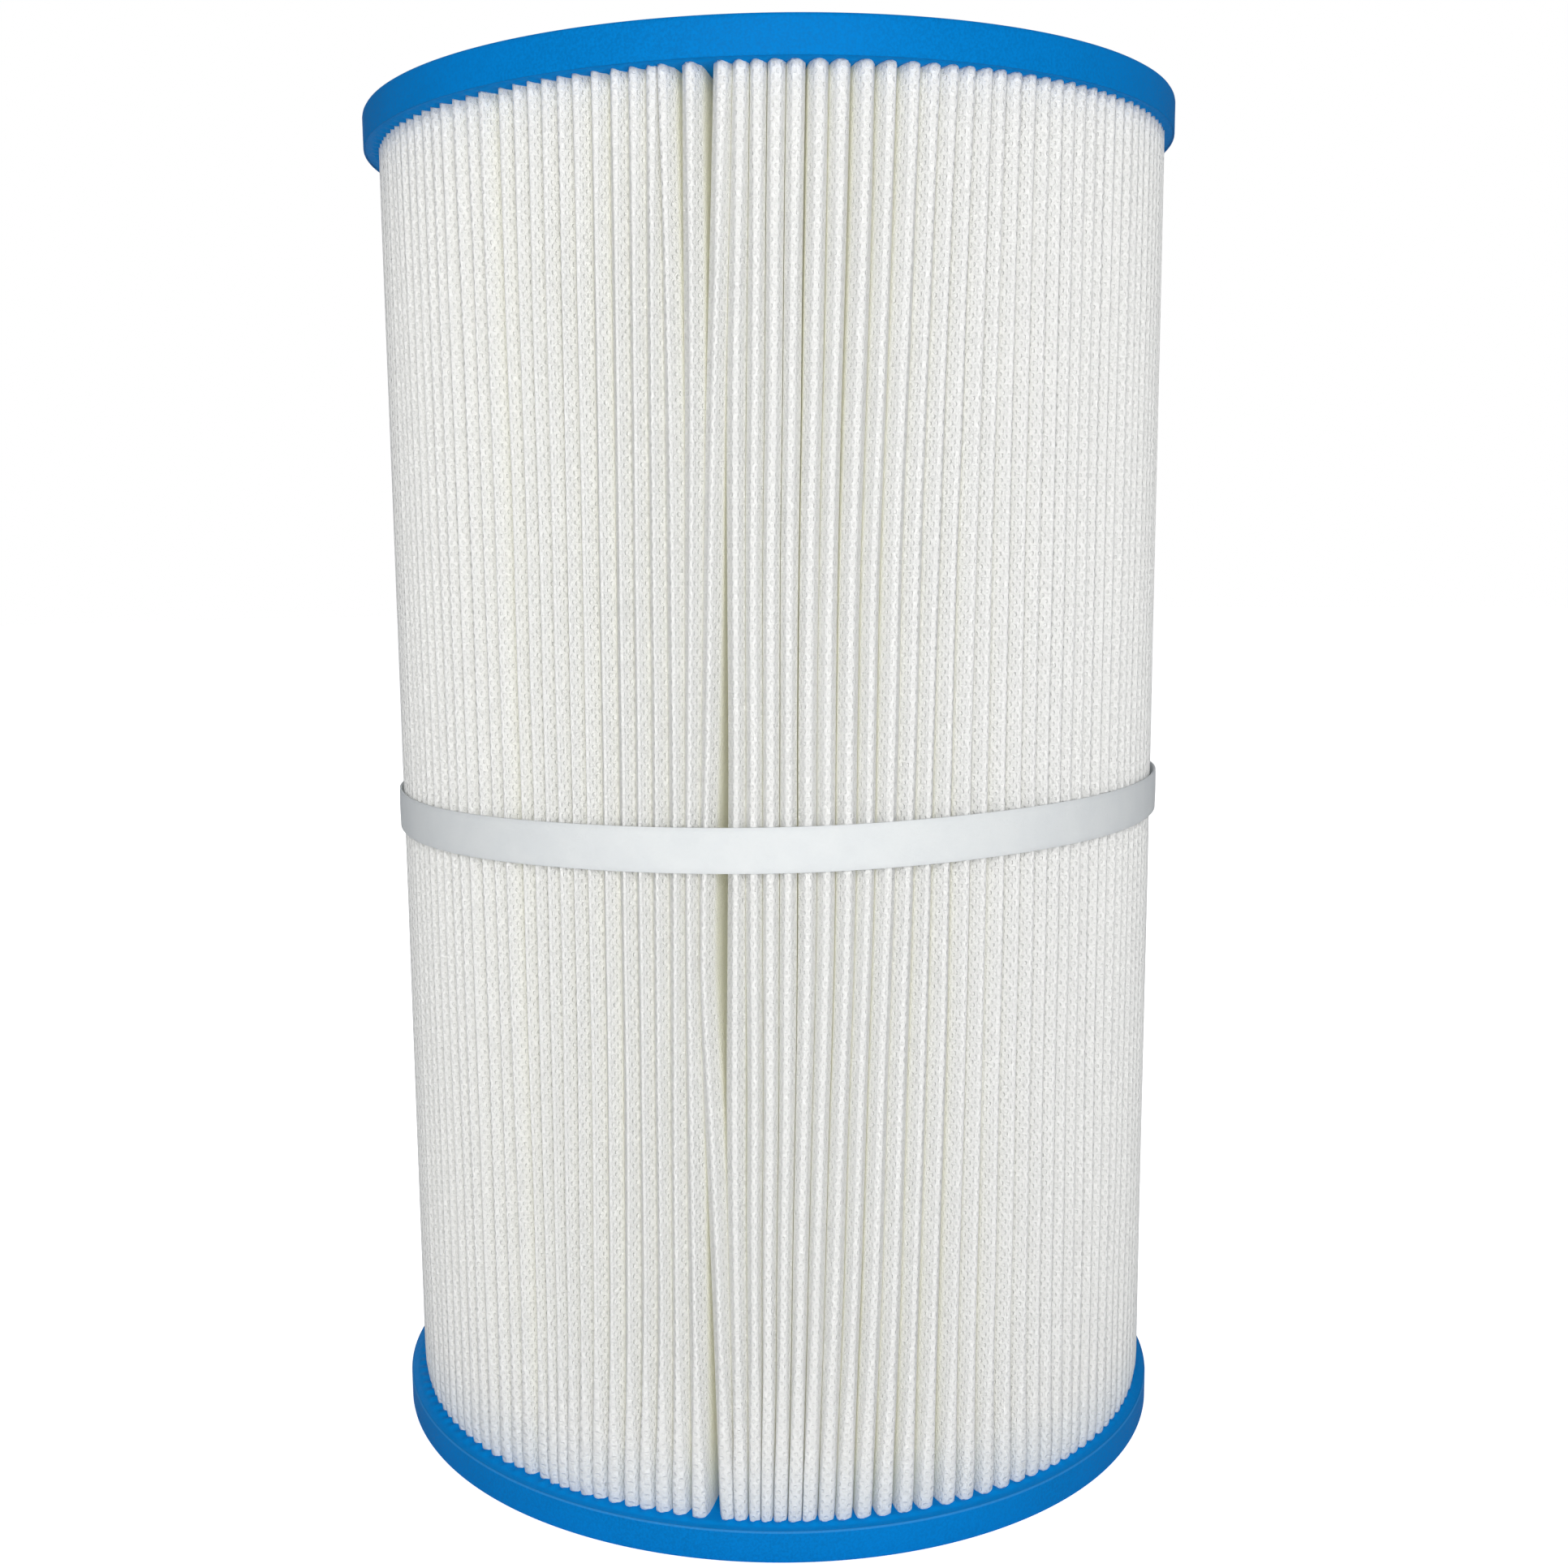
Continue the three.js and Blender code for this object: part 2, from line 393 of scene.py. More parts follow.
def makeSeamAdhesiveMaterial():
    look = {
        "cream": (0.70, 0.66, 0.48, 1),
        "amber": (0.60, 0.52, 0.33, 1),
        "bumpDistance": 0.08 * mm,
    }
    material, tree, surface = newMaterial("seamAdhesive", 0.45, 0.4)
    speckle = placeGroup(tree, mouldSpeckle, {"Speckle Scale": 500, "Drift Scale": 60})
    tone = mixColours(tree, speckle.outputs["Drift"], look["amber"], look["cream"])
    tree.links.new(tone, surface.inputs["Base Color"])
    addBump(tree, surface, speckle.outputs["Height"], 0.5, look["bumpDistance"])
    return material


filterSheet = makeFilterSheetMaterial()
capResin = makeCapResinMaterial()
bandFabric = makeBandMaterial()
corePlastic = makeCorePlasticMaterial()
seamAdhesive = makeSeamAdhesiveMaterial()
print("materials made")


# Where every fold of the sheet stands.
pleatLayout = {
    "count": 144,
    "seed": 31,
    # Crest to crest, in degrees at the band, from the first front fold towards +X.
    "firstFold": -38.7,
    "frontPitches": [
        2.95, 2.35, 2.05, 2.05, 2.25, 2.2, 2.55, 2.6, 2.2, 2.2, 2.4, 1.9, 2.1, 3.6, 2.5, 2.15, 2.25,
        2.5, 2.4, 2.7, 2.6, 2.7, 2.7, 2.7, 2.7, 2.9, 2.6, 2.85, 2.65, 2.65, 2.45, 2.3, 2.3, 2.3,
    ],
    "restJitter": 0.09,
    "restSwing": (0.05, 0.31),
    # How far a crest has drifted sideways by the top and by the foot: angle, top, foot.
    "drift": [
        (-60, -1.0, 0.5), (-40, -0.5, 0.3), (-30, 0.3, -0.6), (-20, 0.6, -1.1), (-5, 1.2, -0.3),
        (0, 1.35, -1.25), (8, 2.2, -2.6), (16, 3.0, -2.7), (24, 2.2, -1.9), (32, 1.0, -0.8),
        (42, 0.6, 0), (60, 0.4, 0), (95, -0.7, 0.6), (135, 0.8, -0.9), (175, -0.4, 0.9),
        (215, -1.3, 0.4), (255, 0.6, -0.7), (300, -1.0, 0.5),
    ],
    "driftTop": 350 * mm,
    "driftFoot": 25 * mm,
    # Folds beside the open one, which wander: fold number, then (height, angle).
    "wandering": {
        11: [(25, -13.82), (105, -13.52), (170, -13.02), (204, -12.82), (285, -12.62), (350, -12.92)],
        12: [(25, -11.12), (105, -11.22), (170, -11.17), (204, -10.82), (285, -9.87), (350, -9.57)],
        13: [(25, -7.42), (105, -8.42), (155, -9.37), (204, -8.52), (285, -7.22), (350, -5.92)],
        14: [(25, -5.47), (105, -5.62), (170, -5.17), (204, -4.87), (285, -4.52), (350, -3.62)],
    },
    "leanPower": 1.25,
    # Side to side waves up the folds: size in degrees, then how quickly it changes.
    "sharedWave": {"size": 0.22, "across": 0.09, "along": 14},
    "ownWave": {"size": 0.08, "along": 22},
    "rootShare": 0.4,
    # Half the width of a crest, in millimetres, round the pack.
    "tipHalves": [
        (-60, 0.7), (-40, 0.55), (-15, 0.55), (-6, 0.9), (-1, 1.1), (10, 1.1), (20, 0.95),
        (40, 0.8), (60, 0.7), (180, 0.7), (299, 0.7),
    ],
    # How far a crest stands back, in millimetres: two folds that are set, and the range of the rest.
    "recessed": {1: 0.7, 143: 0.5},
    "setBack": (0, 0.25),
    "fatness": (0.9, 1.1),
}


def layPleats(layout):
    chance = random.Random(layout["seed"])
    count = layout["count"]
    fronts = layout["frontPitches"]
    jitter = layout["restJitter"]
    swing, pace = layout["restSwing"]
    rest = []
    for k in range(count - len(fronts)):
        rest.append(1 + chance.uniform(-jitter, jitter) + swing * math.sin(pace * k))
    stretch = (360 - sum(fronts)) / sum(rest)
    pitches = fronts + [pitch * stretch for pitch in rest]
    tops = [(place, top) for place, top, foot in layout["drift"]]
    feet = [(place, foot) for place, top, foot in layout["drift"]]
    pleats = []
    angle = layout["firstFold"]
    for number in range(count):
        wrapped = angle if angle < 300 else angle - 360
        pleats.append({
            "band": angle,
            "noisePlace": angle,
            "even": layout["firstFold"] + 360 / count * number,
            "top": curveThrough(tops, wrapped),
            "foot": curveThrough(feet, wrapped),
            "path": [(height * mm, place) for height, place in layout["wandering"].get(number, [])],
            "setBack": layout["recessed"].get(number, chance.uniform(*layout["setBack"])) * mm,
            "fat": chance.uniform(*layout["fatness"]),
            "tipHalf": curveThrough(layout["tipHalves"], wrapped) * mm,
            "phase": chance.uniform(0, 100),
        })
        angle += pitches[number]
    return pleats


# The angle that a crest stands at, at some height.
def crestDegrees(pleat, height):
    if pleat["path"]:
        return curveThrough(pleat["path"], height)
    up = (height - bandMiddle) / (pleatLayout["driftTop"] - bandMiddle)
    down = (bandMiddle - height) / (bandMiddle - pleatLayout["driftFoot"])
    power = pleatLayout["leanPower"]
    lean = pleat["top"] * max(up, 0) ** power + pleat["foot"] * max(down, 0) ** power
    shared, own = pleatLayout["sharedWave"], pleatLayout["ownWave"]
    sharedWave = wander(pleat["noisePlace"] * shared["across"], height * shared["along"], 3.0)
    ownWave = wander(pleat["phase"], height * own["along"], 8.0)
    return pleat["band"] + lean + shared["size"] * sharedWave + own["size"] * ownWave


pleats = layPleats(pleatLayout)
print("pleats laid out:", len(pleats))


mediaSheet = {
    "thickness": 0.5 * mm,
    "crestRadius": 110.2 * mm,
    "rootRadius": 58.45 * mm,
    "rootRound": 0.45 * mm,
    "endTipHalf": 1.9 * mm,
    "tipDepth": 1.0 * mm,
    # A crest's section is a squarish half round: the powers of its rise and its width.
    "tipPowers": (0.85, 0.9),
    "tipClearance": 0.12 * mm,
    "endReach": 50 * mm,
    "topSpread": 0.4,
    "belly": 0.22 * mm,
    "bellyRadius": 80 * mm,
    "bellyWave": {"across": 0.05, "along": 10},
    "fatWave": {"size": 0.1, "along": 12},
    "reachWave": {"size": 0.12 * mm, "along": 9},
    "endRows": (0, 1.5 * mm, 4 * mm, 8 * mm, 14 * mm),
    "midRows": 20,
    # The crests turn in a little where they go into the lower resin.
    "endTuck": 0.7 * mm,
    "tuckReach": 6 * mm,
    "crestSteps": 6,
    # Between root (0) and crest (1): half a fold's width where nothing presses on it, and half
    # the gap that neighbours keep where they do press, in millimetres.
    "flare": [(0.0, 1.3), (0.4, 1.9), (0.74, 2.2), (0.9, 2.4), (0.965, 2.25), (1.0, 1.2)],
    "endFlare": [(0.0, 1.3), (0.4, 1.9), (0.74, 2.15), (0.9, 2.3), (0.965, 2.2), (1.0, 2.0)],
    "closeness": [(0.0, 0.42), (0.4, 0.12), (0.74, 0.06), (0.9, 0.05), (0.965, 0.1), (1.0, 0.25)],
    "flankShares": (0.4, 0.74, 0.9, 0.965),
    # The pack of folds was set down a little to the right of the caps' axis.
    "packShift": 0.85 * mm,
    "shiftRadii": (60 * mm, 85 * mm),
}


# How fat a fold is against the others, which changes a little up the fold.
def fatness(pleat, height):
    wave = mediaSheet["fatWave"]
    return pleat["fat"] + wave["size"] * wander(pleat["phase"] + 40, height * wave["along"], 1.0)


# The resin holds the folds open at both ends of the sheet, and most of all at the foot.
def endSpread(height):
    reach = mediaSheet["endReach"]
    atFoot = 1 - easeBetween(0, reach, height - sheetLow)
    atTop = 1 - easeBetween(0, reach, sheetHigh - height)
    return atFoot + mediaSheet["topSpread"] * atTop


def crestReach(pleat, height):
    wave = mediaSheet["reachWave"]
    swell = wave["size"] * wander(pleat["phase"] + 70, height * wave["along"], 2.0)
    tuck = mediaSheet["endTuck"] * (1 - easeBetween(0, mediaSheet["tuckReach"], height - sheetLow))
    return mediaSheet["crestRadius"] - pleat["setBack"] + swell - tuck


def packOffset(radius):
    return mediaSheet["packShift"] * easeBetween(*mediaSheet["shiftRadii"], radius)


# Where the middle of a fold stands at some radius: it leans from its root to its crest.
def foldDegrees(pleat, height, share):
    crest = crestDegrees(pleat, height)
    root = blendValue(pleat["even"], crest, pleatLayout["rootShare"])
    wave = mediaSheet["bellyWave"]
    bow = wander(pleat["noisePlace"] * wave["across"], height * wave["along"], 6.0)
    bow = bow * mediaSheet["belly"] * math.sin(math.pi * share)
    return blendValue(root, crest, share) + math.degrees(bow / mediaSheet["bellyRadius"])


# One fold at one height, from its left flank to the valley after it. The outer skin has
# inset 0, and the inner skin, drawn with fewer points, is inset by the sheet's thickness.
def foldSection(before, pleat, after, height, inset, crestSteps, flankShares):
    reach = crestReach(pleat, height)
    fat, spread = fatness(pleat, height), endSpread(height)
    shoulder = reach - mediaSheet["tipDepth"]
    tipHalf = blendValue(pleat["tipHalf"] * fat, mediaSheet["endTipHalf"], spread)
    crest = crestDegrees(pleat, height)
    nearest = min(abs(crestDegrees(near, height) - crest) for near in (before, after))
    tipHalf = min(tipHalf, math.radians(nearest) * shoulder / 2 - mediaSheet["tipClearance"])
    rootRadius = mediaSheet["rootRadius"]
    risePower, widthPower = mediaSheet["tipPowers"]

    def flankPoint(side, neighbour, share):
        radius = blendValue(rootRadius + mediaSheet["rootRound"], shoulder, share)
        own, other = foldDegrees(pleat, height, share), foldDegrees(neighbour, height, share)
        halfPitch = math.radians(abs(other - own)) * radius / 2
        free = curveThrough(mediaSheet["flare"], share) * blendValue(1, fat, share)
        free = blendValue(free, curveThrough(mediaSheet["endFlare"], share), spread) * mm
        pressed = halfPitch - curveThrough(mediaSheet["closeness"], share) * mm
        return (radius, own + side * math.degrees((min(free, pressed) - inset) / radius))

    section = [flankPoint(-1, before, share) for share in (0, *flankShares)]
    for step in range(crestSteps + 1):
        turn = math.radians(-90 + 180 * step / crestSteps)
        rise = abs(math.cos(turn)) ** risePower
        radius = shoulder + rise * (mediaSheet["tipDepth"] - inset)
        width = (tipHalf - inset) * math.copysign(abs(math.sin(turn)) ** widthPower, turn)
        section.append((radius, foldDegrees(pleat, height, 1) + math.degrees(width / radius)))
    section += [flankPoint(1, after, share) for share in (*reversed(flankShares), 0)]
    middle = (foldDegrees(pleat, height, 0) + foldDegrees(after, height, 0)) / 2
    section.append((rootRadius - inset, middle))
    return section


# The same fold, counted from the other side of the ring's start.
def turnedPleat(pleat, degrees):
    return {**pleat, "band": pleat["band"] + degrees, "even": pleat["even"] + degrees}


def skinRows(heights, inset, crestSteps, flankShares):
    rows = []
    for height in heights:
        row = []
        for number, pleat in enumerate(pleats):
            before, after = pleats[number - 1], pleats[(number + 1) % len(pleats)]
            if number == 0:
                before = turnedPleat(before, -360)
            if number + 1 == len(pleats):
                after = turnedPleat(after, 360)
            section = foldSection(before, pleat, after, height, inset, crestSteps, flankShares)
            row += [ringPoint(radius, angle, height, packOffset(radius)) for radius, angle in section]
        rows.append(row)
    return rows


def sheetHeights():
    ends, middle = mediaSheet["endRows"], mediaSheet["midRows"]
    low, high = sheetLow + ends[-1], sheetHigh - ends[-1]
    heights = [sheetLow + lift for lift in ends[:-1]]
    heights += [blendValue(low, high, row / middle) for row in range(middle + 1)]
    heights += [sheetHigh - lift for lift in reversed(ends[:-1])]
    return heights


# Distance along the folded sheet, from the first fold to each point of a row.
def sheetTravel(row):
    travel = [0.0]
    for k in range(len(row)):
        travel.append(travel[-1] + (Vector(row[(k + 1) % len(row)]) - Vector(row[k])).length)
    return travel


# A cut end of the sheet, from skin to skin. Each inner point has its own outer point.
def cutEndFaces(outerBase, innerBase, outerCount, innerCount):
    outerFold, innerFold = outerCount // len(pleats), innerCount // len(pleats)
    flank, crest = len(mediaSheet["flankShares"]), mediaSheet["crestSteps"]
    partner = [0, flank - 1, flank + 1, flank + 1 + crest // 2, flank + 1 + crest]
    partner += [outerFold - 1 - flank, outerFold - 2, outerFold - 1]
    faces = []
    for number in range(len(pleats)):
        for k in range(innerFold):
            final = partner[k + 1] if k + 1 < innerFold else outerFold
            rim = [outerBase + (number * outerFold + j) % outerCount for j in range(partner[k], final + 1)]
            innerEdge = [innerBase + (number * innerFold + k + j) % innerCount for j in (1, 0)]
            faces.append(tuple(rim + innerEdge))
    return faces


def makeMedia():
    heights = sheetHeights()
    rows = len(heights) - 1
    outer = skinRows(heights, 0, mediaSheet["crestSteps"], mediaSheet["flankShares"])
    inner = skinRows(heights[::2], mediaSheet["thickness"], 2, (0.5,))
    outerCount, innerCount = len(outer[0]), len(inner[0])
    points = [point for row in outer + inner for point in row]
    innerStart = len(outer) * outerCount
    innerTop = innerStart + (len(inner) - 1) * innerCount

    # The map lays the sheet out flat: distance along the folded sheet, and height.
    travel = sheetTravel(outer[rows // 2])
    faces, sheetMap = [], []
    for row in range(rows):
        base, above = row * outerCount, (row + 1) * outerCount
        for k in range(outerCount):
            after = (k + 1) % outerCount
            faces.append((base + k, base + after, above + after, above + k))
            for place, level in ((k, row), (k + 1, row), (k + 1, row + 1), (k, row + 1)):
                sheetMap += (travel[place], heights[level])
    stride = outerCount / innerCount
    for row in range(len(inner) - 1):
        base = innerStart + row * innerCount
        above = base + innerCount
        for k in range(innerCount):
            after = (k + 1) % innerCount
            faces.append((base + after, base + k, above + k, above + after))
            for place, level in ((k + 1, row), (k, row), (k, row + 1), (k + 1, row + 1)):
                sheetMap += (travel[min(int(place * stride), outerCount)], heights[2 * level])
    for face in cutEndFaces(0, innerStart, outerCount, innerCount):
        faces.append(tuple(reversed(face)))
        sheetMap += [0.0, heights[0]] * len(face)
    for face in cutEndFaces(rows * outerCount, innerTop, outerCount, innerCount):
        faces.append(face)
        sheetMap += [0.0, heights[-1]] * len(face)

    piece = makePiece("pleatedSheet", points, faces, filterSheet, sheetMap)
    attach(piece, "root")
    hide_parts("pleated_media")


makeMedia()
print("pleated sheet made")


endCap = {
    "ledge": 8.85 * mm,
    "ledgeWave": {"size": 0.07 * mm, "across": 0.35, "along": 0.5},
    # The resin rises as it nears the folds, and again between two folds: how far, and where.
    "frontRise": 0.3 * mm,
    "frontRadii": (111.6, 110.2),
    "gapRise": 0.4 * mm,
    "gapRadii": (111.4, 110.0),
    "gapShares": (0.12, 0.42),
    "gapRange": (0.75, 1.2),
    # The rim's thin lip, on the lower and the upper cap, and where it starts.
    "lipRise": (0.12 * mm, 0.5 * mm),
    "lipHeights": (8.3, 8.6),
    "lipRadius": 113.1,
    "samplesPerFold": 8,
    "seed": 12,
}


# The closed outline that every cap shares, from the ledge out over the rim, along the end face
# and up the bore, as (radius, height from the end face) in millimetres.
capOutline = [
    (112.75, 8.87), (113.0, 8.87), (113.2, 8.85), (113.36, 8.77), (113.46, 8.64), (113.5, 8.45), (113.5, 7),
    (113.5, 4), (113.5, 1.2), (113.4, 0.7), (113.15, 0.3), (112.8, 0.08), (112.4, 0), (106, 0), (100.6, 0),
    (100.15, 0.12), (99.9, 0.45), (99.5, 1.15), (99.1, 1.42), (98.5, 1.5), (90, 1.5), (76, 1.5), (67.6, 1.5),
    (67.0, 1.42), (66.6, 1.15), (66.2, 0.4), (65.9, 0.1), (65.4, 0), (59, 0), (52.1, 0), (51.4, 0.12),
    (50.95, 0.5), (50.8, 1.1), (50.8, 4), (50.8, 7.2), (50.95, 7.75), (51.4, 8.0), (52.2, 8.1), (52.6, 8.3),
    (52.7, 8.3), (52.7, 3), (57.3, 3), (57.3, 8.6),
]
# Radii of the resin's surface between the core and the ledge, in millimetres.
pourRadii = [58.5, 66, 80, 95, 104, 107, 108.6, 109.4, 110.0, 110.5, 110.9, 111.3, 111.7, 112.2]


# Where the cap's outline is repeated round the ring: angle, how far into the gap between two
# folds, and how high the resin rises in that gap.
def capColumns(atTop):
    chance = random.Random(endCap["seed"] + atTop)
    endHeight = totalLength - capHeight if atTop else capHeight
    crests = [crestDegrees(pleat, endHeight) for pleat in pleats]
    steps = endCap["samplesPerFold"]
    columns = []
    for start, end in zip(crests, crests[1:] + [crests[0] + 360]):
        ownRise = endCap["gapRise"] * chance.uniform(*endCap["gapRange"])
        for step in range(steps):
            share = step / steps
            gap = easeBetween(*endCap["gapShares"], min(share, 1 - share))
            columns.append((blendValue(start, end, share), gap, ownRise))
    return columns


def makeCap(name, node, atTop):
    columns = capColumns(atTop)
    wave = endCap["ledgeWave"]
    points = []
    for degrees, gap, ownRise in columns:
        for radius, height in capOutline:
            isLip = radius > endCap["lipRadius"]
            lip = endCap["lipRise"][atTop] * easeBetween(*endCap["lipHeights"], height) if isLip else 0
            points.append((radius * mm, degrees, height * mm + lip))
        for radius in pourRadii:
            swell = wander(degrees * wave["across"], radius * wave["along"], 4.0 + atTop)
            ledge = endCap["ledge"] + wave["size"] * swell
            rise = easeBetween(*endCap["gapRadii"], radius) * gap * ownRise
            front = easeBetween(*endCap["frontRadii"], radius) * endCap["frontRise"]
            points.append((radius * mm, degrees, ledge + rise + front))
    placed = []
    for radius, degrees, height in points:
        placed.append(ringPoint(radius, degrees, totalLength - height if atTop else height))
    loop = len(capOutline) + len(pourRadii)
    faces = []
    for k in range(len(columns)):
        base, beside = k * loop, (k + 1) % len(columns) * loop
        for j in range(loop):
            after = (j + 1) % loop
            face = (base + j, base + after, beside + after, beside + j)
            faces.append(face if atTop else tuple(reversed(face)))
    piece = makePiece(name, placed, faces, capResin)
    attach(piece, "root")
    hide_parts(node)


makeCap("lowerCap", "bottom_end_cap", False)
makeCap("upperCap", "top_end_cap", True)
print("end caps made")


bandStrap = {
    "inner": 110.3 * mm,
    "thickness": 0.6 * mm,
    "width": 11.3 * mm,
    "edge": 0.12 * mm,
    "crown": 0.1 * mm,
    "tilt": 1.0,
    "steps": 300,
    "start": 180.0,
    "lap": 10.0,
    "lapRamp": 15.0,
    "lapLift": 0.95 * mm,
    # Where the strap stands off the folds: how far, at what angle, and over how many degrees.
    "bows": [(0.8 * mm, 84, 16), (0.5 * mm, -86, 10)],
    "ripple": {"size": 0.06 * mm, "across": 0.3},
    "sway": {"size": 0.22 * mm, "across": 0.03},
}


def bandRadius(turned):
    degrees = (bandStrap["start"] + turned) % 360
    signed = degrees - 360 if degrees > 180 else degrees
    lift = easeBetween(360 - bandStrap["lapRamp"], 360, turned) * bandStrap["lapLift"]
    right, left = [
        size * math.exp(-((signed - place) / width) ** 2) for size, place, width in bandStrap["bows"]
    ]
    ripple = bandStrap["ripple"]["size"] * wander(signed * bandStrap["ripple"]["across"], 2.0, 9.0)
    return bandStrap["inner"] + lift + right + left + abs(ripple)


# The strap's section as (outwards, upwards), with soft edges.
def bandSection():
    half, thickness, edge = bandStrap["width"] / 2, bandStrap["thickness"], bandStrap["edge"]
    section = []
    for row in range(9):
        section.append((thickness, blendValue(-half + edge, half - edge, row / 8)))
    section += [(thickness - edge, half), (edge, half)]
    for row in range(3):
        section.append((0, blendValue(half - edge, -half + edge, row / 2)))
    section += [(edge, -half), (thickness - edge, -half)]
    return section


def makeBand():
    section = bandSection()
    width, thickness = bandStrap["width"], bandStrap["thickness"]
    steps, turn = bandStrap["steps"], 360 + bandStrap["lap"]
    slope = math.tan(math.radians(bandStrap["tilt"]))
    sway = bandStrap["sway"]
    points, faces = [], []
    for step in range(steps + 1):
        turned = turn * step / steps
        degrees = bandStrap["start"] + turned
        radius = bandRadius(turned)
        swing = sway["size"] * wander(turned * sway["across"], 5.0, 1.0)
        for out, up in section:
            crown = bandStrap["crown"] * (1 - (2 * up / width) ** 2) if out > 0 else 0
            height = bandMiddle + up + swing + radius * math.sin(math.radians(degrees)) * slope
            points.append(ringPoint(radius + out + crown, degrees, height, mediaSheet["packShift"]))
    loop = len(section)
    for step in range(steps):
        base, beside = step * loop, (step + 1) * loop
        for j in range(loop):
            after = (j + 1) % loop
            faces.append((base + j, beside + j, beside + after, base + after))
    faces.append(tuple(range(loop)))
    faces.append(tuple(reversed(range(steps * loop, (steps + 1) * loop))))
    piece = makePiece("middleBand", points, faces, bandFabric)
    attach(piece, "root")
    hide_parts("mid_band")


makeBand()
print("band made")


coreTube = {
    "sections": 5,
    "inner": 53.0 * mm,
    "outer": 57.0 * mm,
    "windowsAround": 10,
    "windowRows": 2,
    "windowHalf": 12.5,
    "windowHeight": 25 * mm,
    "corner": 3.0 * mm,
    "cornerSteps": 4,
    "edge": 0.5 * mm,
    "edgeBulge": 0.3,
    "jointDepth": 4 * mm,
    "spigotOuter": 54.8 * mm,
    "gap": 0.3 * mm,
}


def blendPoint(start, end, share):
    return (blendValue(start[0], end[0], share), blendValue(start[1], end[1], share))


# A window's outline with round corners, and the same number of points round its cell's border.
def windowRings(cellHalfWidth, cellLow, cellHigh, windowLow, windowHigh):
    middle = math.radians(coreTube["windowHalf"]) * coreTube["outer"]
    corner, steps = coreTube["corner"], coreTube["cornerSteps"]
    windowMid, cellMid = (windowLow + windowHigh) / 2, (cellLow + cellHigh) / 2
    halfHeight, cellHalfHeight = (windowHigh - windowLow) / 2, (cellHigh - cellLow) / 2
    window, border = [], []
    for quarter, (sideX, sideZ) in enumerate(((1, -1), (1, 1), (-1, 1), (-1, -1))):
        centreX, centreZ = sideX * (middle - corner), sideZ * (halfHeight - corner)
        cellCorner = (sideX * cellHalfWidth, cellMid + sideZ * cellHalfHeight)
        first, second = (centreX, cellCorner[1]), (cellCorner[0], cellMid + centreZ)
        if quarter % 2:
            first, second = second, first
        for step in range(steps + 1):
            turn = math.radians(90 * (quarter - 1) + 90 * step / steps)
            outwards = (corner * math.cos(turn), corner * math.sin(turn))
            window.append((centreX + outwards[0], windowMid + centreZ + outwards[1]))
            slide = 2 * step / steps
            if slide <= 1:
                border.append(blendPoint(first, cellCorner, slide))
            else:
                border.append(blendPoint(cellCorner, second, slide - 1))
    return window, border


# A ring of points moved outwards from its own centre.
def spreadRing(ring, centreZ, amount):
    wide = []
    for x, height in ring:
        reach = math.hypot(x, height - centreZ)
        wide.append((x * (1 + amount / reach), height + (height - centreZ) * amount / reach))
    return wide


# The plain collars below and above the windows, as (radius, height), with spigot and socket.
def coreCollars(low, bottom, top, cellEdges, hasSpigot, hasSocket):
    inner, outer, edge = coreTube["inner"], coreTube["outer"], coreTube["edge"]
    bulge = edge * coreTube["edgeBulge"]
    spigot, joint = coreTube["spigotOuter"], coreTube["jointDepth"]
    socket = spigot + coreTube["gap"]
    lower = [(outer, cellEdges[0]), (outer, bottom + edge)]
    lower += [(outer - bulge, bottom + bulge), (outer - edge, bottom)]
    if hasSpigot:
        lower += [(spigot, bottom), (spigot, low + edge), (spigot - edge, low)]
        lower += [(inner + edge, low), (inner, low + edge), (inner, cellEdges[0])]
    else:
        lower += [(inner + edge, bottom), (inner + bulge, bottom + bulge)]
        lower += [(inner, bottom + edge), (inner, cellEdges[0])]
    upper = [(inner, cellEdges[-1])]
    if hasSocket:
        upper += [(inner, top - joint), (socket, top - joint), (socket, top - edge), (socket + edge, top)]
    else:
        upper += [(inner, top - edge), (inner + bulge, top - bulge), (inner + edge, top)]
    upper += [(outer - edge, top), (outer - bulge, top - bulge), (outer, top - edge), (outer, cellEdges[-1])]
    return lower, upper


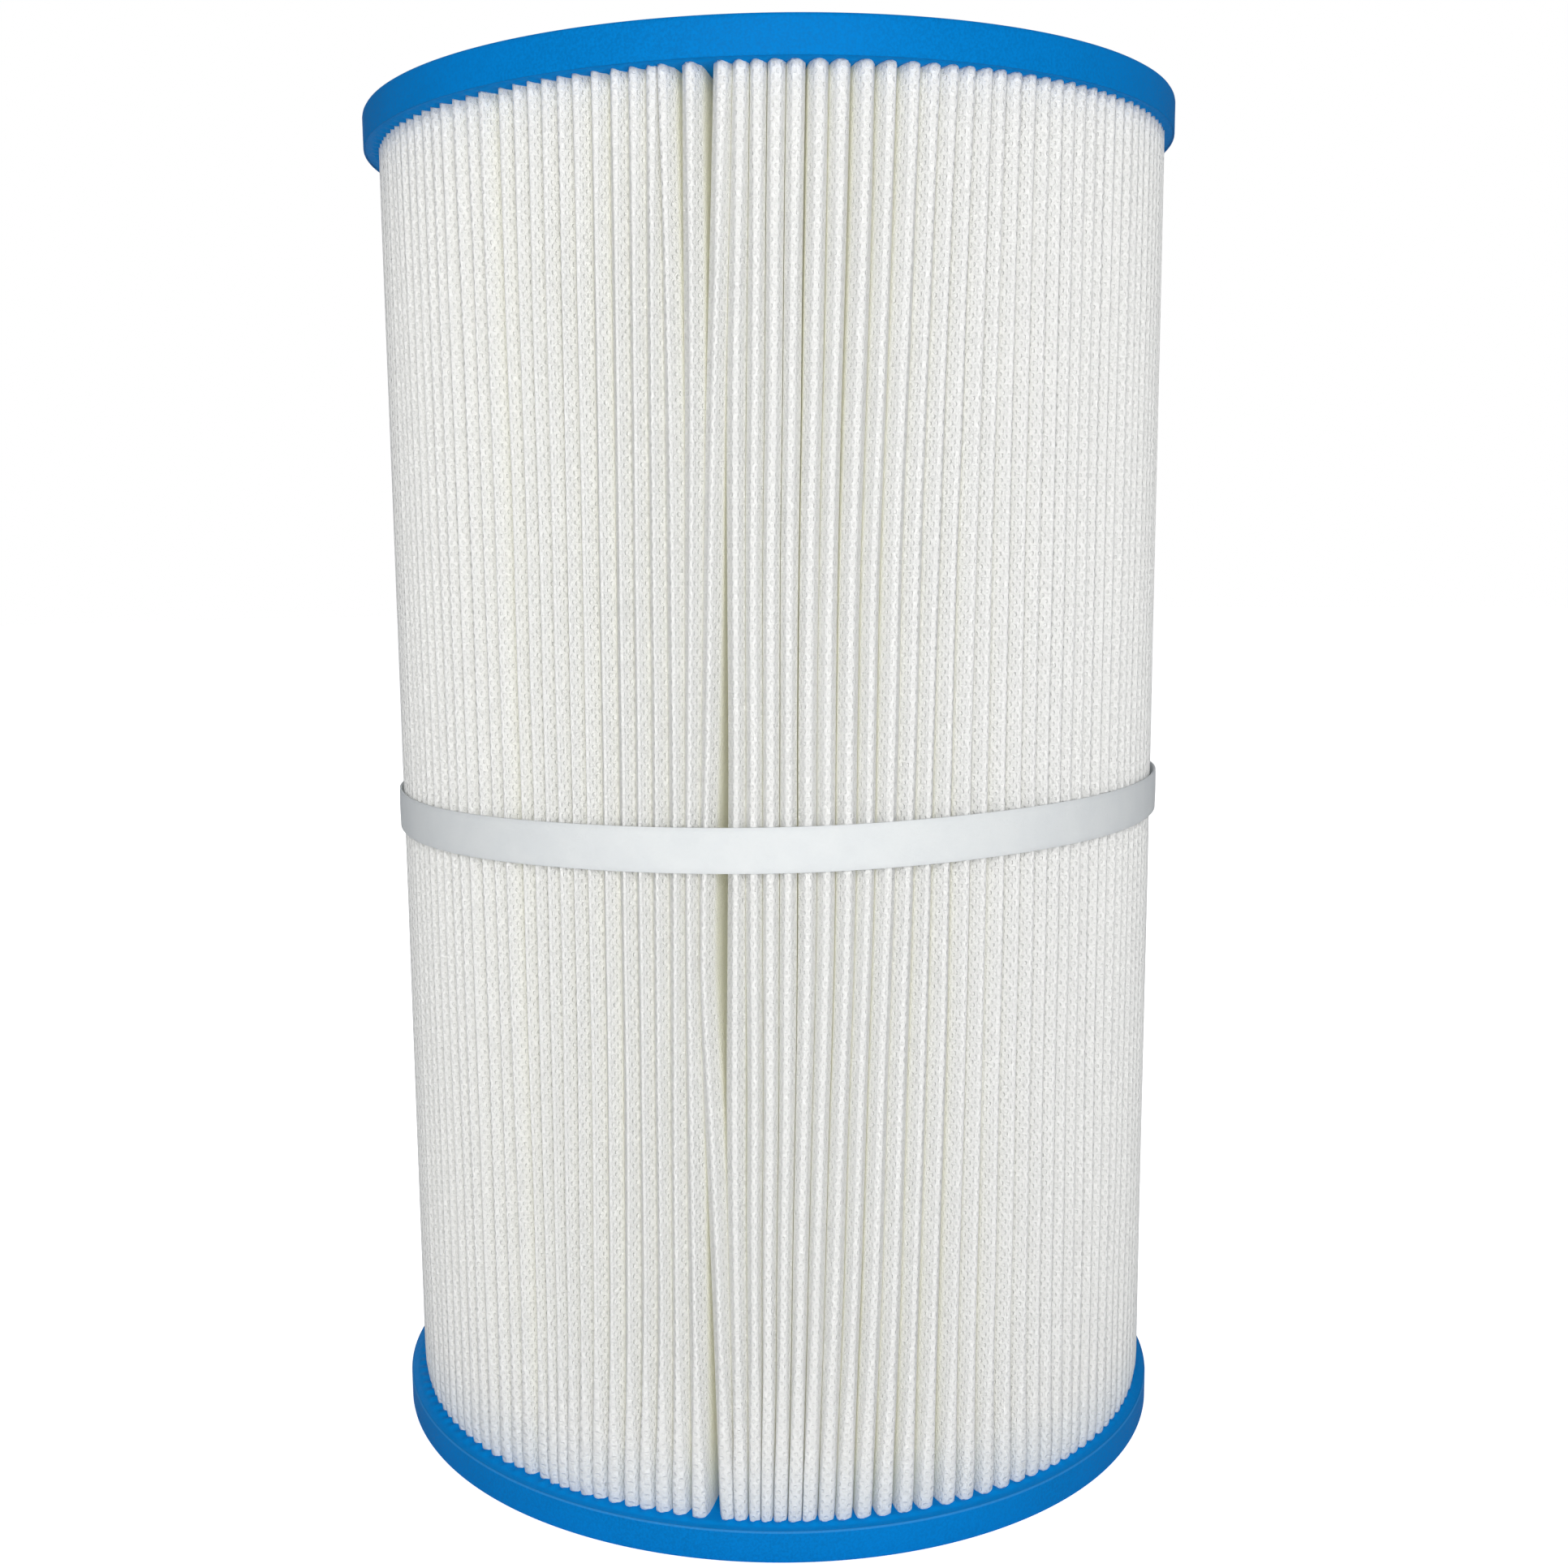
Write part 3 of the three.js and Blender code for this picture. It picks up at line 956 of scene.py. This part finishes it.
def makeCoreSection(number):
    node = f"core_section_{number}"
    low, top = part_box(node)[0].z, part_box(node)[1].z
    hasSpigot, hasSocket = number > 1, number < coreTube["sections"]
    joint, windowHeight = coreTube["jointDepth"], coreTube["windowHeight"]
    bottom = low + joint - coreTube["gap"] if hasSpigot else low
    inner, outer, edge = coreTube["inner"], coreTube["outer"], coreTube["edge"]
    bulge = edge * coreTube["edgeBulge"]
    cells, rows = coreTube["windowsAround"], coreTube["windowRows"]
    spare = (top - joint - bottom - rows * windowHeight) / (rows + 1)
    cellHalfWidth = math.pi * outer / cells
    cellEdges = [bottom + spare * (row + 0.5) + row * windowHeight for row in range(rows + 1)]
    points, faces = [], []

    def addRing(ring):
        start = len(points)
        points.extend(ring)
        return start

    def addWindowRing(ring, radius, cell):
        turn = 90 + 360 / cells * cell
        return addRing([ringPoint(radius, turn + math.degrees(x / outer), height) for x, height in ring])

    for cell in range(cells):
        for row in range(rows):
            windowLow = bottom + spare + row * (spare + windowHeight)
            window, border = windowRings(
                cellHalfWidth, cellEdges[row], cellEdges[row + 1], windowLow, windowLow + windowHeight,
            )
            centreZ = windowLow + windowHeight / 2
            wide, soft = spreadRing(window, centreZ, edge), spreadRing(window, centreZ, bulge)
            layers = [
                addWindowRing(border, outer, cell),
                addWindowRing(wide, outer, cell),
                addWindowRing(soft, outer - bulge, cell),
                addWindowRing(window, outer - edge, cell),
                addWindowRing(window, inner + edge, cell),
                addWindowRing(soft, inner + bulge, cell),
                addWindowRing(wide, inner, cell),
                addWindowRing(border, inner, cell),
            ]
            for first, second in zip(layers, layers[1:]):
                for j in range(len(window)):
                    after = (j + 1) % len(window)
                    faces.append((first + j, first + after, second + after, second + j))

    # The collars have a point wherever the window cells' lower borders have one.
    firstTop = bottom + spare + windowHeight
    border = windowRings(cellHalfWidth, cellEdges[0], cellEdges[1], bottom + spare, firstTop)[1]
    lowBorder = sorted({round(x, 7) for x, height in border if abs(height - cellEdges[0]) < 1e-6})
    around = []
    for cell in range(cells):
        around += [90 + math.degrees(x / outer) + 360 / cells * cell for x in lowBorder[:-1]]
    for collar in coreCollars(low, bottom, top, cellEdges, hasSpigot, hasSocket):
        rings = []
        for radius, height in collar:
            rings.append(addRing([ringPoint(radius, degrees, height) for degrees in around]))
        for first, second in zip(rings, rings[1:]):
            for j in range(len(around)):
                after = (j + 1) % len(around)
                faces.append((first + after, first + j, second + j, second + after))

    piece = makePiece(f"coreSection{number}", points, faces, corePlastic)
    weld = piece.modifiers.new("weld", "WELD")
    weld.merge_threshold = 0.02 * mm
    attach(piece, "root")
    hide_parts(node)


for number in range(1, coreTube["sections"] + 1):
    makeCoreSection(number)
print("core made")


seamStrip = {
    "fold": 14,
    "outer": 107.6 * mm,
    "depth": 12 * mm,
    "half": 0.25 * mm,
    "blunt": 0.3 * mm,
    "taper": 2 * mm,
    "rows": 24,
}


# The strip follows the fold that it stands in.
def makeSeamStrip():
    pleat = pleats[seamStrip["fold"]]
    low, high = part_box("media_seam_strip")[0].z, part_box("media_seam_strip")[1].z
    half, outer, inner = seamStrip["half"], seamStrip["outer"], seamStrip["outer"] - seamStrip["depth"]
    blunt, taper = outer - seamStrip["blunt"], inner + seamStrip["taper"]
    rootRadius, depth = mediaSheet["rootRadius"], mediaSheet["crestRadius"] - mediaSheet["rootRadius"]
    points, faces = [], []
    # The section, as (radius, share of the strip's half thickness).
    section = [(outer, -0.4), (outer, 0.4), (blunt, 1), (taper, 0.8)]
    section += [(inner, 0.3), (inner, -0.3), (taper, -0.8), (blunt, -1)]
    for row in range(seamStrip["rows"] + 1):
        height = blendValue(low, high, row / seamStrip["rows"])
        for radius, side in section:
            degrees = foldDegrees(pleat, height, (radius - rootRadius) / depth)
            degrees += side * math.degrees(half / radius)
            points.append(ringPoint(radius, degrees, height, packOffset(radius)))
    loop = len(section)
    for row in range(seamStrip["rows"]):
        base, above = row * loop, (row + 1) * loop
        for j in range(loop):
            after = (j + 1) % loop
            faces.append((base + j, base + after, above + after, above + j))
    faces.append(tuple(reversed(range(loop))))
    faces.append(tuple(range(seamStrip["rows"] * loop, (seamStrip["rows"] + 1) * loop)))
    piece = makePiece("seamStrip", points, faces, seamAdhesive)
    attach(piece, "root")
    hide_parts("media_seam_strip")


makeSeamStrip()
print("seam strip made")


studio = {
    "floorRadius": 6.0,
    "floorSides": 72,
    "floorColour": (0.93, 0.93, 0.935, 1),
    "floorFleck": (0.95, 0.95, 0.95, 1),
    "sky": (0.93, 0.96, 1.0, 1),
    "skyStrength": 0.29,
    "floorLift": 0.8,
    "keyPower": 11.7,
    "backPower": 5.0,
}


def makeFloor():
    material, tree, surface = newMaterial("paleFloor", 0.9, 0.1)
    grain = addNode(tree, "ShaderNodeTexNoise", {"Scale": 40.0, "Detail": 3.0})
    flecks = remap(tree, grain.outputs["Fac"], 0.3, 0.7)
    tone = mixColours(tree, flecks, studio["floorColour"], studio["floorFleck"])
    tree.links.new(tone, surface.inputs["Base Color"])
    surface.inputs["Emission Color"].default_value = (1, 1, 1, 1)
    seen = addNode(tree, "ShaderNodeLightPath").outputs["Is Camera Ray"]
    tree.links.new(maths(tree, "MULTIPLY", seen, studio["floorLift"]), surface.inputs["Emission Strength"])
    sides = studio["floorSides"]
    points = [(0, 0, 0)] + [ringPoint(studio["floorRadius"], 360 / sides * k, 0) for k in range(sides)]
    faces = [(0, 1 + k, 1 + (k + 1) % sides) for k in range(sides)]
    floor = makePiece("studioFloor", points, faces, material)
    floor.location.z = -0.05 * mm  # just under the lower cap


def makeLight(name, place, aim, size, power, colour):
    data = bpy.data.lights.new(name, "AREA")
    data.shape = "RECTANGLE"
    data.size, data.size_y = size
    data.energy = power
    data.color = colour
    light = bpy.data.objects.new(name, data)
    light.location = place
    light.rotation_euler = (Vector(aim) - Vector(place)).to_track_quat("-Z", "Y").to_euler()
    light.visible_camera = False
    bpy.context.scene.collection.objects.link(light)


def makeSky():
    world = bpy.data.worlds.new("studioSky")
    world.use_nodes = True
    tree = world.node_tree
    dim = tree.nodes["Background"]
    dim.inputs["Color"].default_value = studio["sky"]
    dim.inputs["Strength"].default_value = studio["skyStrength"]
    bright = addNode(tree, "ShaderNodeBackground", {"Color": (1, 1, 1, 1), "Strength": 1.0})
    seen = addNode(tree, "ShaderNodeLightPath").outputs["Is Camera Ray"]
    mix = addNode(tree, "ShaderNodeMixShader", {0: seen, 1: dim.outputs[0], 2: bright.outputs[0]})
    tree.links.new(mix.outputs[0], tree.nodes["World Output"].inputs["Surface"])
    bpy.context.scene.world = world


makeFloor()
makeSky()
middle = (0, 0, 0.2)
makeLight("keyLight", (0.04, -1.32, 0.52), middle, (0.8, 0.8), studio["keyPower"], (1.0, 0.985, 0.95))
makeLight("backLight", (-0.15, 1.4, 0.6), middle, (0.9, 0.9), studio["backPower"], (1.0, 0.99, 0.97))
bpy.context.scene.view_settings.view_transform = "Standard"
bpy.context.scene.cycles.diffuse_bounces = 12
print("floor and lights made")
